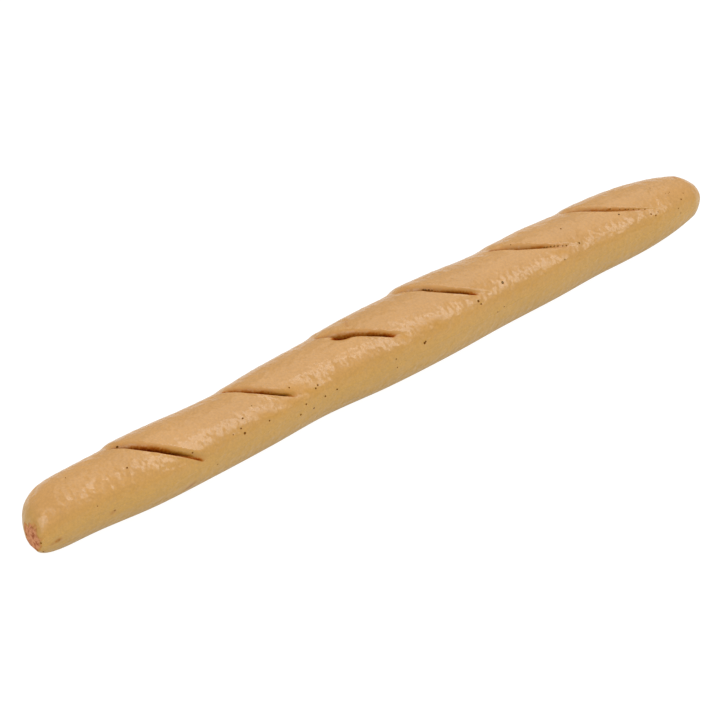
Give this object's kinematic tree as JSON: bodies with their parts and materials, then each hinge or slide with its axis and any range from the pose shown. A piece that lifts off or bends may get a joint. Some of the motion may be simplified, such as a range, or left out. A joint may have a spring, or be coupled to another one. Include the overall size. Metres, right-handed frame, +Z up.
{
  "type": "miniature baguette",
  "caption": "Long, thin miniature baguette: a hand-rolled stick of painted clay with slanting slashes across the top, a blunt end and a tapered end.",
  "frame": {"origin": "bottom centre of the whole stick: the middle of its length and width, on the surface that it lies on", "axes": "+X along the stick, from the blunt end to the tapered end; +Y across it, to the side that the slashes start from; +Z up, out of the slashed top"},
  "size_m": [0.108, 0.0108, 0.0099],
  "materials": {
    "painted_clay": "satin golden tan paint over fired clay, with a brown wash in the slashes and bare clay at the blunt end"
  },
  "bodies": {
    "root": {"baguette": "painted_clay"}
  },
  "joints": []
}
